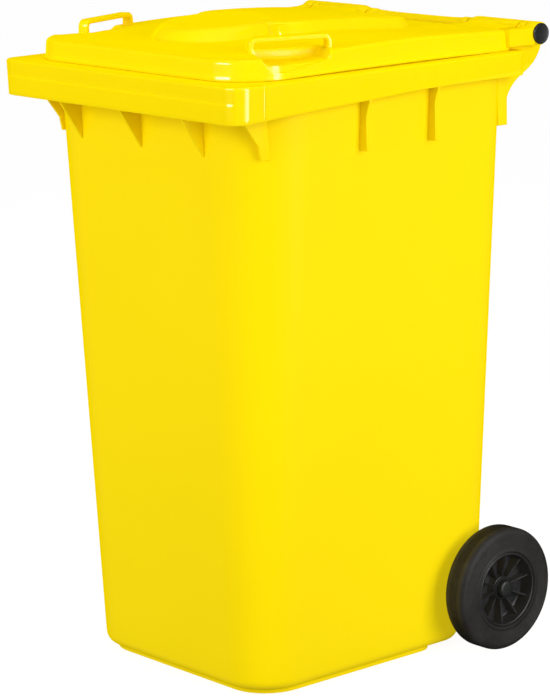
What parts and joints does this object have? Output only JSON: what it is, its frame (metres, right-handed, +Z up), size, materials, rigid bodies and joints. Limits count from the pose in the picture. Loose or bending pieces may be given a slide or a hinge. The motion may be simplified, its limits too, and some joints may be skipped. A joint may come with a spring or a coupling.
{
  "type": "wheelie bin",
  "caption": "Two-wheeled refuse bin with a tapered plastic tub, a comb-lift front ledge and a hinged lid with side grips and a raised round disc.",
  "frame": {"origin": "bottom centre of the bounding box, on the ground", "axes": "+Z up; the ledge and the lid's front edge face -Y, the hinge and wheels are towards +Y; +X is the bin's right-hand side when its front is seen with +X to the right"},
  "size_m": [0.5866, 0.666, 1.0354],
  "materials": {
    "yellow_plastic": "smooth, slightly glossy moulded polyethylene",
    "black_plastic": "satin moulded plastic",
    "black_rubber": "matt black rubber",
    "zinc_steel": "zinc-plated steel"
  },
  "bodies": {
    "root": {"body": "yellow_plastic", "axle": "zinc_steel", "left_inner_washer": "zinc_steel", "left_outer_washer": "zinc_steel", "left_axle_lock_ring": "zinc_steel", "left_axle_cap": "zinc_steel", "right_inner_washer": "zinc_steel", "right_outer_washer": "zinc_steel", "right_axle_lock_ring": "zinc_steel", "right_axle_cap": "zinc_steel"},
    "lid": {"lid": "yellow_plastic", "hinge_pin_right": "black_plastic", "hinge_pin_left": "black_plastic"},
    "wheel_left": {"left_tyre": "black_rubber", "left_wheel_rim": "black_plastic"},
    "wheel_right": {"right_tyre": "black_rubber", "right_wheel_rim": "black_plastic"}
  },
  "joints": [
    {"name": "lid_hinge", "type": "hinge", "parent": "root", "child": "lid", "pos_m": [0, 0.307, 0.986], "axis": [-1, 0, 0], "range_deg": [0, 262]},
    {"name": "left_wheel_spin", "type": "hinge", "parent": "root", "child": "wheel_left", "pos_m": [-0.2685, 0.21, 0.1], "axis": [1, 0, 0], "continuous": true},
    {"name": "right_wheel_spin", "type": "hinge", "parent": "root", "child": "wheel_right", "pos_m": [0.2685, 0.21, 0.1], "axis": [1, 0, 0], "continuous": true}
  ]
}
